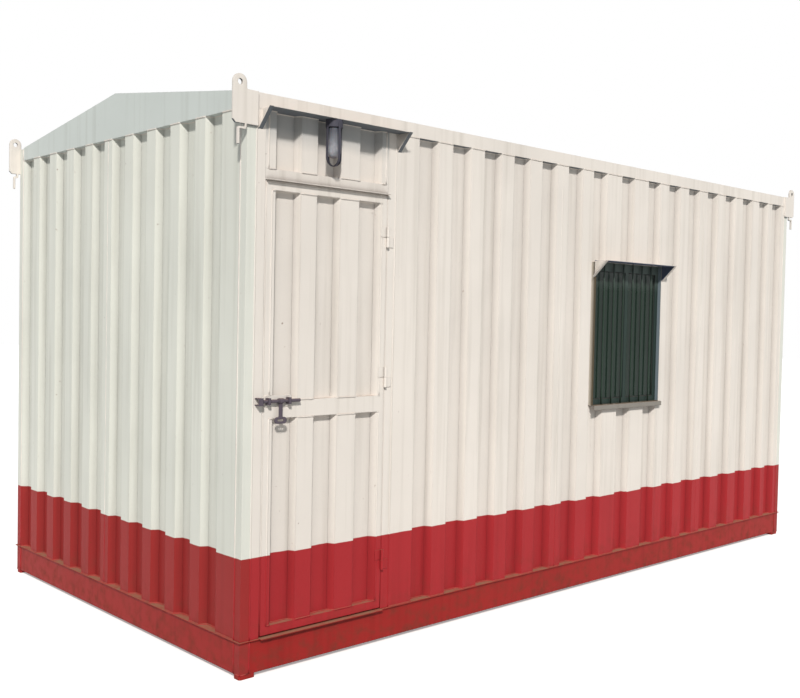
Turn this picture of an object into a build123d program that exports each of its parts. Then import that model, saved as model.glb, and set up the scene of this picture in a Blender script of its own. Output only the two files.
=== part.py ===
from build123d import *
from math import atan, cos, sin, tan
import os

os.makedirs("parts", exist_ok=True)

# Steel site cabin, 16 ft by 8 ft. Millimetres, +Z up, +X along the long side.
# The door and the window are in the front wall, which faces -Y.

# Overall size
body_length = 4980
body_width = 2450
foot_height = 20
rail_top = 170
eave = 2605
ridge = 2770
hood_reach = 98
lug_plate = 12

# The origin is on the ground, under the middle of everything that the cabin reaches.
half_length = body_length / 2
front_y = (hood_reach - lug_plate - body_width) / 2
back_y = front_y + body_width
middle_y = front_y + body_width / 2

# Sections of the frame
post = 50
post_wall = 4
rail_wall = 5
rail_lip = 8
threshold_reach = 22
foot_length = 85
top_rail_height = 70
top_rail_wall = 3
rail_underside = eave - top_rail_height
lining_face = 75
lining_board = 9

# Corrugated sheet
sheet = 2
recess_depth = 36
recess_mouth = 142
recess_floor = 104

# Doorway, measured from the left-hand corner of the front wall
door_left = 100
door_right = 835
door_top = 2228
door_head = 50
door_gap = 8
leaf_left = door_left + door_gap
leaf_right = door_right - door_gap
leaf_bottom = rail_top + door_gap
leaf_top = door_top - door_gap
leaf_depth = 40
door_recesses = [227, 462, 719]

# Window, measured from the same corner. Its frame reaches up to the hood.
window_left = 2548
window_right = 3260
window_bottom = 1110
hood_level = 1994
hood_sheet = 3
window_top = hood_level - hood_sheet - 1

# Sliding bolt on the leaf
bolt_level = 1240
bolt_radius = 8
bolt_stand_off = 17

# Hinges
pin_x = (leaf_right + door_right) / 2
pin_stand_off = 9
hinge_levels = [420, 1330, 2020]

# Each wall has a plane on its outer face, with its origin at the left-hand corner for someone
# outside: x runs to the right along the wall, y goes inward, and z goes up.
wall_origins = {
    "front": ((-half_length, front_y), (1, 0, 0)),
    "right": ((half_length, front_y), (0, 1, 0)),
    "back": ((half_length, back_y), (-1, 0, 0)),
    "left": ((-half_length, back_y), (0, -1, 0)),
}
wall_lengths = {"front": body_length, "right": body_width, "back": body_length, "left": body_width}


def wall_plane(wall, level=0):
    """The plane of a wall at a height above the ground."""
    (x, y), along = wall_origins[wall]
    return Plane(origin=(x, y, level), x_dir=along, z_dir=(0, 0, 1))


def finish(part, name):
    """Label a piece and write its file."""
    part.label = name
    export_step(part, f"parts/{name}.step")
    return part


def slab(wall, along, depth, levels):
    """A block on a wall, given by its low and high values along, inward and up."""
    with BuildPart() as block:
        with BuildSketch(wall_plane(wall, levels[0])):
            with Locations((sum(along) / 2, sum(depth) / 2)):
                Rectangle(along[1] - along[0], depth[1] - depth[0])
        extrude(amount=levels[1] - levels[0])
    return block.part


def tube(wall, along, depth, levels, thickness):
    """An upright square tube on a wall."""
    with BuildPart() as section:
        with BuildSketch(wall_plane(wall, levels[0])):
            with Locations((sum(along) / 2, sum(depth) / 2)):
                Rectangle(along[1] - along[0], depth[1] - depth[0])
                Rectangle(
                    along[1] - along[0] - 2 * thickness,
                    depth[1] - depth[0] - 2 * thickness,
                    mode=Mode.SUBTRACT,
                )
        extrude(amount=levels[1] - levels[0])
    return section.part


def sheet_outline(start, end, centres, mouth, floor, depth, thickness):
    """Corner points of a corrugated sheet: the outer line one way, the inner line back."""
    half_bend = atan(depth / ((mouth - floor) / 2)) / 2
    shift = thickness * tan(half_bend)
    outer = [(start, 0)]
    inner = [(start, thickness)]
    for centre in centres:
        outer += [
            (centre - mouth / 2, 0),
            (centre - floor / 2, depth),
            (centre + floor / 2, depth),
            (centre + mouth / 2, 0),
        ]
        inner += [
            (centre - mouth / 2 - shift, thickness),
            (centre - floor / 2 - shift, depth + thickness),
            (centre + floor / 2 + shift, depth + thickness),
            (centre + mouth / 2 + shift, thickness),
        ]
    outer.append((end, 0))
    inner.append((end, thickness))
    return outer + inner[::-1]


def corrugated(plane, height, start, end, centres, depth=recess_depth, thickness=sheet):
    """A sheet with upright trapezoidal recesses, flush with the plane at its flats."""
    with BuildPart() as panel:
        with BuildSketch(plane):
            with BuildLine():
                points = sheet_outline(
                    start, end, centres, recess_mouth, recess_floor, depth, thickness
                )
                Polyline(*points, close=True)
            make_face()
        extrude(amount=height)
    return panel.part


# Bottom rails: channels with the web outward, cut between the corner posts. A lip along the top edge of
# each throws water clear and meets the next one outside the posts, and it is wider under the door.
lip_levels = (rail_top - rail_wall, rail_top)
for name, walls in (
    ("bottom_rail_front", ("front",)),
    ("bottom_rail_back", ("back",)),
    ("bottom_rails_end", ("left", "right")),
):
    with BuildPart() as bottom_rail:
        for wall in walls:
            along = (post, wall_lengths[wall] - post)
            add(slab(wall, along, (0, post), (foot_height, rail_top)))
            add(
                slab(wall, along, (rail_wall, post), (foot_height + rail_wall, rail_top - rail_wall)),
                mode=Mode.SUBTRACT,
            )
            past_corner = rail_lip if wall in ("front", "back") else 0
            lip_along = (-past_corner, wall_lengths[wall] + past_corner)
            add(slab(wall, lip_along, (-rail_lip, 0), lip_levels))
        if "front" in walls:
            add(slab("front", (door_left, door_right), (-threshold_reach, 0), lip_levels))
    finish(bottom_rail.part, name)

# Corner posts and the plates under them
with BuildPart() as corner_posts:
    for wall in wall_lengths:
        add(tube(wall, (0, post), (0, post), (foot_height, eave), post_wall))
finish(corner_posts.part, "corner_posts")

foot_corner = 8
with BuildPart() as corner_feet:
    for wall in ("front", "back"):
        with BuildSketch(wall_plane(wall)) as plates:
            for middle in (foot_length / 2, body_length - foot_length / 2):
                with Locations((middle, post / 2)):
                    Rectangle(foot_length, post)
            chamfer(plates.vertices(), length=foot_corner)
        extrude(amount=foot_height)
finish(corner_feet.part, "corner_feet")

# Top rails along the long sides: rectangular tube between the posts
for wall in ("front", "back"):
    with BuildPart() as top_rail:
        add(slab(wall, (post, body_length - post), (0, post), (rail_underside, eave)))
        add(
            slab(
                wall,
                (post, body_length - post),
                (top_rail_wall, post - top_rail_wall),
                (rail_underside + top_rail_wall, eave - top_rail_wall),
            ),
            mode=Mode.SUBTRACT,
        )
    finish(top_rail.part, f"top_rail_{wall}")

# Floor: channel joists from rail to rail, with the deck on them
joist_height = 100
joist_width = 50
joist_wall = 4
joist_count = 9
deck_board = 18
deck_underside = rail_top - deck_board
joist_spacing = (body_length - 4 * post) / (joist_count - 1)
joist_level = deck_underside - joist_height / 2
with BuildPart() as floor_joists:
    for index in range(joist_count):
        centre = -half_length + 2 * post + index * joist_spacing
        joist_foot = (centre, front_y + rail_wall, joist_level)
        joist_end = Plane(origin=joist_foot, x_dir=(1, 0, 0), z_dir=(0, -1, 0))
        with BuildSketch(joist_end):
            Rectangle(joist_width, joist_height)
            with Locations((joist_wall, 0)):
                Rectangle(joist_width, joist_height - 2 * joist_wall, mode=Mode.SUBTRACT)
        extrude(amount=-(body_width - 2 * rail_wall))
finish(floor_joists.part, "floor_joists")

with BuildPart() as floor_deck:
    add(slab("front", (post, body_length - post), (post, body_width - post), (deck_underside, rail_top)))
finish(floor_deck.part, "floor_deck")

# End walls: ten recesses, set out from the front corner of the left-hand end
end_recesses = [128.5 + 227.7 * index for index in range(10)]
wall_height = rail_underside - rail_top
for wall in ("left", "right"):
    panel = corrugated(wall_plane(wall, rail_top), wall_height, post, body_width - post, end_recesses)
    finish(panel, f"end_wall_{wall}")

# Back wall: twenty recesses at the sheet's own pitch
pitch = 244
back_recesses = [post + pitch / 2 + pitch * index for index in range(20)]
back_wall = corrugated(wall_plane("back", rail_top), wall_height, post, body_length - post, back_recesses)
finish(back_wall, "back_wall")

# Front wall: one run of sheet, cut into the panel over the door and four round the window
front_recesses = [1113 + 244.2 * index for index in range(7)]
front_recesses += [2872]
front_recesses += [3165 + 241.7 * index for index in range(7)]
front_recesses += [4815]
over_door_level = door_top + door_head
over_door_height = rail_underside - over_door_level
over_door = corrugated(
    wall_plane("front", over_door_level), over_door_height, door_left, door_right, door_recesses
)
finish(over_door, "front_wall_over_door")
front_sheet = corrugated(
    wall_plane("front", rail_top), wall_height, door_right + post, body_length - post, front_recesses
)
front_panels = {
    "front_wall_middle": ((door_right + post, window_left), (rail_top, rail_underside)),
    "front_wall_right": ((window_right, body_length - post), (rail_top, rail_underside)),
    "front_wall_under_window": ((window_left, window_right), (rail_top, window_bottom)),
    "front_wall_over_window": ((window_left, window_right), (window_top, rail_underside)),
}
for name, (along, levels) in front_panels.items():
    with BuildPart() as front_panel:
        add(front_sheet)
        add(slab("front", along, (0, 2 * recess_depth), levels), mode=Mode.INTERSECT)
    finish(front_panel.part, name)

# Doorway: two tube jambs with a stop on each, and a head with a drip strip
jamb_wall = 3
stop_plate = 4
stop_grip = 10
stop_lap = 16
for name, along, stop in (
    ("door_jamb_left", (door_left - post, door_left), (door_left - stop_grip, door_left + stop_lap)),
    ("door_jamb_right", (door_right, door_right + post), (door_right - stop_lap, door_right + stop_grip)),
):
    with BuildPart() as jamb:
        add(tube("front", along, (0, post), (rail_top, rail_underside), jamb_wall))
        add(slab("front", stop, (post, post + stop_plate), (rail_top, door_top)))
    finish(jamb.part, name)

drip_reach = 22
doorway = (door_left, door_right)
with BuildPart() as door_head_bar:
    add(slab("front", doorway, (0, jamb_wall), (door_top, over_door_level)))
    add(slab("front", doorway, (0, post), (over_door_level - jamb_wall, over_door_level)))
    add(slab("front", doorway, (-drip_reach, post), (door_top, door_top + jamb_wall)))
finish(door_head_bar.part, "door_head")

# Door leaf: a tray frame with three bars, two corrugated sheets and a flat inner skin
stile = 30
top_bar = 35
mid_bar = (1160, 1240)
bottom_bar = 40
frame_sheet = 2
skin = 1.5
leaf_span = (leaf_left, leaf_right)
leaf_fields = [
    (leaf_bottom + bottom_bar, mid_bar[0]),
    (mid_bar[1], leaf_top - top_bar),
]
with BuildPart() as door_frame_bars:
    add(slab("front", leaf_span, (0, leaf_depth - skin), (leaf_bottom, leaf_top)))
    for levels in leaf_fields:
        add(
            slab("front", (leaf_left + stile, leaf_right - stile), (0, leaf_depth), levels),
            mode=Mode.SUBTRACT,
        )
    bar_levels = [
        (leaf_bottom, leaf_bottom + bottom_bar),
        mid_bar,
        (leaf_top - top_bar, leaf_top),
    ]
    for low, high in bar_levels:
        add(
            slab(
                "front",
                (leaf_left + frame_sheet, leaf_right - frame_sheet),
                (frame_sheet, leaf_depth),
                (low + frame_sheet, high - frame_sheet),
            ),
            mode=Mode.SUBTRACT,
        )
    for edge in (leaf_left, leaf_right - stile):
        add(
            slab(
                "front",
                (edge + frame_sheet, edge + stile - frame_sheet),
                (frame_sheet, leaf_depth),
                (leaf_bottom + frame_sheet, leaf_top - frame_sheet),
            ),
            mode=Mode.SUBTRACT,
        )
finish(door_frame_bars.part, "door_leaf_frame")

leaf_recess_depth = 32
with BuildPart() as door_sheets:
    for low, high in leaf_fields:
        field_plane = wall_plane("front", low)
        edges = (leaf_left + stile, leaf_right - stile)
        add(corrugated(field_plane, high - low, *edges, door_recesses, leaf_recess_depth, skin))
finish(door_sheets.part, "door_leaf_sheets")

skin_depth = (leaf_depth - skin, leaf_depth)
finish(slab("front", leaf_span, skin_depth, (leaf_bottom, leaf_top)), "door_inner_skin")

# Hinges: each has a half with the pin on the jamb and a half with the barrel on the leaf
barrel_radius = 8
barrel_length = 50
hinge_pin_radius = 4
pin_clearance = 0.2
hinge_plate = 3
plate_width = 42
plate_depth = (-hinge_plate, 0)
half_gap = 1
jamb_plate_start = 2
leaf_plate_end = -1
with BuildPart() as jamb_hinges:
    for level in hinge_levels:
        bottom = level - barrel_length
        shoulder = level - half_gap
        add(slab("front", (pin_x + jamb_plate_start, pin_x + plate_width), plate_depth, (bottom, shoulder)))
        with BuildSketch(wall_plane("front", bottom)):
            with Locations((pin_x, -pin_stand_off)):
                Circle(barrel_radius)
        extrude(amount=shoulder - bottom)
        with BuildSketch(wall_plane("front", shoulder)):
            with Locations((pin_x, -pin_stand_off)):
                Circle(hinge_pin_radius)
        extrude(amount=barrel_length)
finish(jamb_hinges.part, "hinge_halves_jamb")

with BuildPart() as leaf_hinges:
    for level in hinge_levels:
        top = level + barrel_length
        add(slab("front", (pin_x - plate_width, pin_x + leaf_plate_end), plate_depth, (level, top)))
        with BuildSketch(wall_plane("front", level)):
            with Locations((pin_x, -pin_stand_off)):
                Circle(barrel_radius)
        extrude(amount=barrel_length)
        with BuildSketch(wall_plane("front", level)):
            with Locations((pin_x, -pin_stand_off)):
                Circle(hinge_pin_radius + pin_clearance)
        extrude(amount=barrel_length, mode=Mode.SUBTRACT)
finish(leaf_hinges.part, "hinge_halves_leaf")

# Sliding bolt: a round bar with two collars, in guides on a back plate
bolt_left = 95
bolt_right = 297
hasp_x = 190
hasp_width = 18
collar = 5
collar_rim = 3
collar_play = 1
bore_play = 0.5
guide_places = (122, 235)
guide_width = 12
guide_rim = 5
guide_half_height = 15
latch_plate = 3
latch_plate_span = (112, 262)
latch_plate_half_height = 25
bolt_levels = (bolt_level - guide_half_height, bolt_level + guide_half_height)


def on_bolt_axis(start):
    """The plane across the bolt at a distance along the front wall, facing right."""
    centre = (-half_length + start, front_y - bolt_stand_off, bolt_level)
    return Plane(origin=centre, x_dir=(0, 1, 0), z_dir=(1, 0, 0))


with BuildPart() as door_bolt:
    with BuildSketch(on_bolt_axis(bolt_left)):
        Circle(bolt_radius)
    extrude(amount=bolt_right - bolt_left)
    eye_half = hasp_width / 2 + collar_play
    for start in (hasp_x - eye_half - collar, hasp_x + eye_half):
        with BuildSketch(on_bolt_axis(start)):
            Circle(bolt_radius + collar_rim)
        extrude(amount=collar)
finish(door_bolt.part, "door_bolt")

guide_depth = (-bolt_stand_off - bolt_radius - guide_rim, -latch_plate)
with BuildPart() as bolt_guides:
    plate_levels = (bolt_level - latch_plate_half_height, bolt_level + latch_plate_half_height)
    add(slab("front", latch_plate_span, (-latch_plate, 0), plate_levels))
    for place in guide_places:
        along = (place - guide_width / 2, place + guide_width / 2)
        add(slab("front", along, guide_depth, bolt_levels))
        with BuildSketch(on_bolt_axis(along[0])):
            Circle(bolt_radius + bore_play)
        extrude(amount=guide_width, mode=Mode.SUBTRACT)
finish(bolt_guides.part, "bolt_guides")

# Hasp: an eye round the bolt, a stem, and a slotted end
hasp_thickness = 6
hasp_drop = 88
hasp_eye = 4
hasp_end = (66, 30)
hasp_slot = (36, 10)
stem_top = bolt_radius + collar_rim
with BuildPart() as bolt_hasp:
    with BuildSketch(on_bolt_axis(hasp_x - hasp_width / 2)):
        Circle(bolt_radius + bore_play + hasp_eye)
        Circle(bolt_radius + bore_play, mode=Mode.SUBTRACT)
    extrude(amount=hasp_width)
    hasp_face = (-half_length + hasp_x, front_y - bolt_stand_off - hasp_thickness / 2, bolt_level)
    with BuildSketch(Plane(origin=hasp_face, x_dir=(1, 0, 0), z_dir=(0, -1, 0))):
        with Locations((0, -(stem_top + hasp_drop) / 2)):
            Rectangle(hasp_width, hasp_drop - stem_top)
        with Locations((0, -hasp_drop)):
            SlotOverall(*hasp_end)
            SlotOverall(*hasp_slot, mode=Mode.SUBTRACT)
    extrude(amount=-hasp_thickness)
finish(bolt_hasp.part, "bolt_hasp")

keeper_span = (60, 84)
keeper_reach = 35
keeper_half_height = 17
keeper_plate = 5
with BuildPart() as bolt_keeper:
    keeper_levels = (bolt_level - keeper_half_height, bolt_level + keeper_half_height)
    add(slab("front", keeper_span, (-keeper_reach, 0), keeper_levels))
    add(
        slab(
            "front",
            keeper_span,
            (keeper_plate - keeper_reach, 0),
            (keeper_levels[0] + keeper_plate, keeper_levels[1] - keeper_plate),
        ),
        mode=Mode.SUBTRACT,
    )
finish(bolt_keeper.part, "bolt_keeper")


def side_gusset(start, reach, top, drop, thickness, flange, side):
    """A triangular end plate with a flange bent outward along its sloping edge."""
    with BuildPart() as gusset:
        plane = Plane(origin=(-half_length + start, front_y, top), x_dir=(0, -1, 0), z_dir=(-1, 0, 0))
        with BuildSketch(plane):
            with BuildLine():
                Polyline((0, 0), (reach, 0), (0, -drop), close=True)
            make_face()
        extrude(amount=thickness * side)
        slope = Vector(reach, drop).normalized()
        inward = Vector(-slope.Y, slope.X) * thickness
        with BuildSketch(plane):
            with BuildLine():
                Polyline(
                    (0, -drop),
                    (reach, 0),
                    (reach + inward.X, inward.Y),
                    (inward.X, inward.Y - drop),
                    close=True,
                )
            make_face()
        extrude(amount=flange * side)
    return gusset.part


# Door canopy and window hood: a plate between two gussets
canopy_span = (80, 893)
canopy_reach = 84
canopy_level = rail_underside + 2
canopy_drop = 90
hood_span = (window_left - 7, window_right + 8)
hood_drop = 98
flange = 22
gusset_step = 1
for name, along, reach, level, drop in (
    ("door_canopy", canopy_span, canopy_reach, canopy_level, canopy_drop),
    ("window_hood", hood_span, hood_reach, hood_level, hood_drop),
):
    with BuildPart() as canopy:
        add(slab("front", along, (-reach, 0), (level - hood_sheet, level)))
        add(side_gusset(along[0], reach, level - gusset_step, drop, hood_sheet, flange, 1))
        add(side_gusset(along[1], reach, level - gusset_step, drop, hood_sheet, flange, -1))
        behind = (along[0] - 2 * flange, along[1] + 2 * flange)
        add(slab("front", behind, (0, reach), (0, ridge)), mode=Mode.SUBTRACT)
    finish(canopy.part, name)

# Lamp under the canopy: a round cap, two crossed guard straps bent into a U, and a domed glass in them
lamp_x = 450
lamp_stand_off = 44
lamp_cap_radius = 40
lamp_cap_height = 36
lamp_cap_level = canopy_level - hood_sheet - lamp_cap_height
guard_radius = 42
guard_strap = 3
guard_width = 12
guard_grip = 20
guard_bottom = 2320
guard_side = lamp_cap_level - guard_bottom - guard_radius
glass_profile = ((0, 0), (33, 0), (33, -114), (22, -136), (0, -142))
lamp_centre = (-half_length + lamp_x, front_y - lamp_stand_off)
lamp_base = (*lamp_centre, lamp_cap_level)
with BuildPart() as lamp_holder:
    with BuildSketch(Plane.XY.offset(lamp_cap_level)):
        with Locations(lamp_centre):
            Circle(lamp_cap_radius)
    extrude(amount=lamp_cap_height)
    for across in (Vector(1, 0, 0), Vector(0, 1, 0)):
        facing = across.cross(Vector(0, 0, 1))
        with BuildSketch(Plane(origin=lamp_base, x_dir=across, z_dir=facing)):
            for radius, mode in (
                (guard_radius, Mode.ADD),
                (guard_radius - guard_strap, Mode.SUBTRACT),
            ):
                left, right = (-radius, -guard_side), (radius, -guard_side)
                with BuildLine():
                    Polyline(left, (-radius, guard_grip), (radius, guard_grip), right)
                    ThreePointArc(right, (0, -guard_side - radius), left)
                make_face(mode=mode)
        extrude(amount=guard_width / 2, both=True)
finish(lamp_holder.part, "lamp_holder")

with BuildPart() as lamp_glass:
    with BuildSketch(Plane(origin=lamp_base, x_dir=(1, 0, 0), z_dir=(0, -1, 0))):
        with BuildLine():
            Polyline(*glass_profile, close=True)
        make_face()
    revolve(axis=Axis(lamp_base, (0, 0, 1)))
finish(lamp_glass.part, "lamp_glass")

# Window: a reveal of thin plate, two sashes that meet in the middle, one pane, and a sill strip
reveal = 3
reveal_depth = (-4, lining_face)
sash_face = 32
sash_head = 50
sash_depth = (18, 44)
glass_depth = (28, 33)
glass_lap = 8
sill_span = (window_left - 10, window_right + 10)
sill_reach = 24
sill_face = 28
sill_sheet = 3
window_middle = (window_left + window_right) / 2
window_along = (window_left, window_right)
window_levels = (window_bottom, window_top)


def inset(limits, amount):
    """Low and high limits moved towards each other."""
    return (limits[0] + amount, limits[1] - amount)


inner_along = inset(window_along, reveal)
inner_levels = inset(window_levels, reveal)
light_levels = (inner_levels[0] + sash_face, inner_levels[1] - sash_head)
pane = inset(inner_along, sash_face - glass_lap)
pane_levels = (light_levels[0] - glass_lap, light_levels[1] + glass_lap)
with BuildPart() as window_frame:
    add(slab("front", window_along, reveal_depth, window_levels))
    add(slab("front", inner_along, reveal_depth, inner_levels), mode=Mode.SUBTRACT)
    add(slab("front", inner_along, sash_depth, inner_levels))
    for along in (
        (inner_along[0] + sash_face, window_middle - sash_face / 2),
        (window_middle + sash_face / 2, inner_along[1] - sash_face),
    ):
        add(slab("front", along, sash_depth, light_levels), mode=Mode.SUBTRACT)
    add(slab("front", pane, glass_depth, pane_levels), mode=Mode.SUBTRACT)
finish(window_frame.part, "window_frame")
finish(slab("front", pane, glass_depth, pane_levels), "window_glass")

with BuildPart() as window_sill:
    add(slab("front", sill_span, (-sill_reach, 0), (window_bottom - sill_sheet, window_bottom)))
    face_depth = (-sill_reach, -sill_reach + sill_sheet)
    add(slab("front", sill_span, face_depth, (window_bottom - sill_face, window_bottom)))
finish(window_sill.part, "window_sill")

# Gables: a flat plate up to the slopes, with a flange over the edge of the roof
slope = atan((ridge - eave) / (body_width / 2))
gable_plate = 3
gable_rail_wall = 3
gable_rail_gap = 2
gable_rail_top = eave - gable_plate - gable_rail_gap
verge = 45
apex_u = body_width / 2
verge_foot = eave + post * tan(slope)
for wall in ("left", "right"):
    (x, y), along = wall_origins[wall]
    gable_face = Plane(origin=(x, y, 0), x_dir=along, z_dir=-wall_plane(wall).y_dir)
    with BuildPart() as gable:
        with BuildSketch(gable_face):
            with BuildLine():
                Polyline(
                    (post, rail_underside),
                    (body_width - post, rail_underside),
                    (body_width - post, verge_foot),
                    (apex_u, ridge),
                    (post, verge_foot),
                    close=True,
                )
            make_face()
        extrude(amount=-gable_plate)
        with BuildSketch(gable_face):
            with BuildLine():
                Polyline(
                    (post, verge_foot),
                    (apex_u, ridge),
                    (body_width - post, verge_foot),
                    (body_width - post, verge_foot - gable_plate),
                    (apex_u, ridge - gable_plate),
                    (post, verge_foot - gable_plate),
                    close=True,
                )
            make_face()
        extrude(amount=-verge)
        gable_span = (post, body_width - post)
        add(slab(wall, gable_span, (gable_plate, post), (rail_underside, gable_rail_top)))
        hollow_depth = (gable_plate + gable_rail_wall, post - gable_rail_wall)
        hollow_levels = (rail_underside + gable_rail_wall, gable_rail_top - gable_rail_wall)
        add(slab(wall, gable_span, hollow_depth, hollow_levels), mode=Mode.SUBTRACT)
    finish(gable.part, f"gable_{wall}")

# Roof slopes: corrugated sheet with its flats level with the rail's inner top edge
roof_recesses = [pitch / 2 + pitch * index for index in range(20)]
roof_length = body_length - 2 * post
roof_run = (body_width / 2 - post) / cos(slope)
roof_depth = 28
for name, start_y, side in (("roof_front", front_y + post, 1), ("roof_back", back_y - post, -1)):
    with BuildPart() as roof:
        uphill = Vector(0, cos(slope) * side, sin(slope))
        down_normal = Vector(0, sin(slope) * side, -cos(slope))
        across = down_normal.cross(uphill)
        origin = Vector(-half_length * across.X, start_y, eave) + across * post
        with BuildSketch(Plane(origin=origin, x_dir=across, z_dir=uphill)):
            with BuildLine():
                points = sheet_outline(
                    0, roof_length, roof_recesses, recess_mouth, recess_floor, roof_depth, sheet
                )
                Polyline(*points, close=True)
            make_face()
        extrude(amount=roof_run)
        half = (post, body_width / 2) if side == 1 else (body_width / 2, body_width - post)
        add(slab("front", (0, body_length), half, (eave - 2 * recess_depth, ridge)), mode=Mode.INTERSECT)
    finish(roof.part, name)

cap_half = 160
cap_sheet = 2.5
cap_fall = cap_half * tan(slope)
cap_level = eave + (body_width / 2 - post) * tan(slope)
cap_end = Plane(origin=(-half_length + post, middle_y, cap_level), x_dir=(0, 1, 0), z_dir=(1, 0, 0))
with BuildPart() as ridge_cap:
    with BuildSketch(cap_end):
        with BuildLine():
            Polyline(
                (-cap_half, -cap_fall),
                (0, 0),
                (cap_half, -cap_fall),
                (cap_half, cap_sheet - cap_fall),
                (0, cap_sheet),
                (-cap_half, cap_sheet - cap_fall),
                close=True,
            )
        make_face()
    extrude(amount=roof_length)
finish(ridge_cap.part, "ridge_cap")

# Lifting lugs: a plate on the outer face of each corner post, with its eye past the end wall, and a tie
# hook of flat bar bent under it. Those on the front reach further.
lug_reaches = {"front": 83, "back": 65}
lug_eye_radius = 13
lug_head = 35
lug_eye_level = 2632
lug_foot = 2455
lug_chamfer = 14
lug_throat = 8
hook_bar = 10
hook_start = 12
hook_drop = 14
hook_tip = 2365
hook_inner_bend = 3
with BuildPart() as lifting_lugs:
    for wall, side in (("front", 1), ("back", 1), ("front", -1), ("back", -1)):
        (x, y), along = wall_origins[wall]
        start = x if side == 1 else x + along[0] * body_length
        reach = lug_reaches[wall]
        eye = (-(reach - lug_head) * side, lug_eye_level)
        with BuildSketch(Plane(origin=(start, y, 0), x_dir=along, z_dir=-wall_plane(wall).y_dir)):
            with Locations(eye):
                Circle(lug_head)
            with BuildLine():
                FilletPolyline(
                    (-reach * side, lug_foot + lug_chamfer),
                    (-(reach - lug_chamfer) * side, lug_foot),
                    (post * side, lug_foot),
                    (post * side, eave),
                    (-(reach - 2 * lug_head) * side, eave),
                    (-(reach - 2 * lug_head) * side, lug_eye_level),
                    (-reach * side, lug_eye_level),
                    radius=[0, 0, 0, 0, lug_throat, 0, 0],
                    close=True,
                )
            make_face()
            with Locations(eye):
                Circle(lug_eye_radius, mode=Mode.SUBTRACT)
        extrude(amount=lug_plate)
        hook_outer = reach - lug_head + hook_bar
        with BuildSketch(Plane(origin=(start, y, 0), x_dir=along, z_dir=-wall_plane(wall).y_dir)):
            with BuildLine():
                FilletPolyline(
                    (-hook_start * side, lug_foot),
                    (-hook_start * side, lug_foot - hook_drop - hook_bar),
                    (-(hook_outer - hook_bar) * side, lug_foot - hook_drop - hook_bar),
                    (-(hook_outer - hook_bar) * side, hook_tip),
                    (-hook_outer * side, hook_tip),
                    (-hook_outer * side, lug_foot - hook_drop),
                    (-(hook_start + hook_bar) * side, lug_foot - hook_drop),
                    (-(hook_start + hook_bar) * side, lug_foot),
                    radius=[0, hook_bar, hook_inner_bend, 0, 0, hook_bar, hook_inner_bend, 0],
                    close=True,
                )
            make_face()
        extrude(amount=lug_plate)
finish(lifting_lugs.part, "lifting_lugs")

# Inside: lining boards on the walls, with the front one in boards round the openings, and a ceiling
lining_back_face = lining_face - lining_board
lining_depth = (lining_back_face, lining_face)
ceiling_level = 2500
with BuildPart() as lining_ends:
    for wall in ("left", "right"):
        span = (lining_face, body_width - lining_face)
        add(slab(wall, span, lining_depth, (rail_top, ceiling_level)))
finish(lining_ends.part, "lining_ends")
long_span = (lining_back_face, body_length - lining_back_face)
finish(slab("back", long_span, lining_depth, (rail_top, ceiling_level)), "lining_back")

board_gap = 3
with BuildPart() as lining_front:
    for along, levels in (
        ((door_left, door_right), (door_top + board_gap, ceiling_level)),
        ((door_right + board_gap, window_left - board_gap), (rail_top, ceiling_level)),
        ((window_left, window_right), (rail_top, window_bottom - board_gap)),
        ((window_left, window_right), (window_top + board_gap, ceiling_level)),
        ((window_right + board_gap, long_span[1]), (rail_top, ceiling_level)),
    ):
        add(slab("front", along, lining_depth, levels))
finish(lining_front.part, "lining_front")

cross_span = (lining_back_face, body_width - lining_back_face)
ceiling_levels = (ceiling_level, ceiling_level + lining_board)
finish(slab("front", long_span, cross_span, ceiling_levels), "ceiling")
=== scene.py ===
import bpy
import math
import numpy as np
from mathutils import Matrix, Vector


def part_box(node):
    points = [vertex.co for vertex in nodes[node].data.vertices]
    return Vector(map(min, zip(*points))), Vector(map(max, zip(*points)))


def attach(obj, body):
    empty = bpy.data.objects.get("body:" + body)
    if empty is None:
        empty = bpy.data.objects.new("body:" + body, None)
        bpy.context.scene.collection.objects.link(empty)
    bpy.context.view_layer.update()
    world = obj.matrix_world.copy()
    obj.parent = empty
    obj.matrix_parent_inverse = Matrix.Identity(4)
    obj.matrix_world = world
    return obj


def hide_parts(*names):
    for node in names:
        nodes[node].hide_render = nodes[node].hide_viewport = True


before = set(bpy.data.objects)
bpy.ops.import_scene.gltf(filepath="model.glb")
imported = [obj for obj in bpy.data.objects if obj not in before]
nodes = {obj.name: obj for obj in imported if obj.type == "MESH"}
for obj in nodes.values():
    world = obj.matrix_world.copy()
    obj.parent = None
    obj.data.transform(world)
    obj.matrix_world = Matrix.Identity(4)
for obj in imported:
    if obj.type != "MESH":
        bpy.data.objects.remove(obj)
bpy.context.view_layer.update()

# The view
# A camera at eye height off the near corner, turned until it sees the door, the window and one end.
camera_place = (-5.003, -4.893, 1.633)
heading = math.radians(42.888)
dip = math.radians(-1.862)
lean = math.radians(1.15)
lens_length = 45.41
film_width = 36
camera = bpy.data.objects.new("camera", bpy.data.cameras.new("camera"))
camera.data.lens = lens_length
camera.data.sensor_width = film_width
camera.matrix_world = (
    Matrix.Translation(camera_place)
    @ Matrix.Rotation(-heading, 4, "Z")
    @ Matrix.Rotation(math.pi / 2 + dip, 4, "X")
    @ Matrix.Rotation(lean, 4, "Z")
)
bpy.context.scene.collection.objects.link(camera)
bpy.context.scene.camera = camera
bpy.context.scene.view_settings.view_transform = "Standard"

# The studio light
# One soft lamp high on the left, before the long wall, and an even fill from all round, which the lens sees
# as plain white.
key_direction = Vector((-0.47, -0.585, 0.55))
key = bpy.data.lights.new("studio_key", "SUN")
key.energy = 3.27
key.angle = math.radians(5)
key.color = (1.0, 0.965, 0.9)
key_lamp = bpy.data.objects.new("studio_key", key)
key_lamp.rotation_euler = key_direction.to_track_quat("Z", "Y").to_euler()
bpy.context.scene.collection.objects.link(key_lamp)


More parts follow.
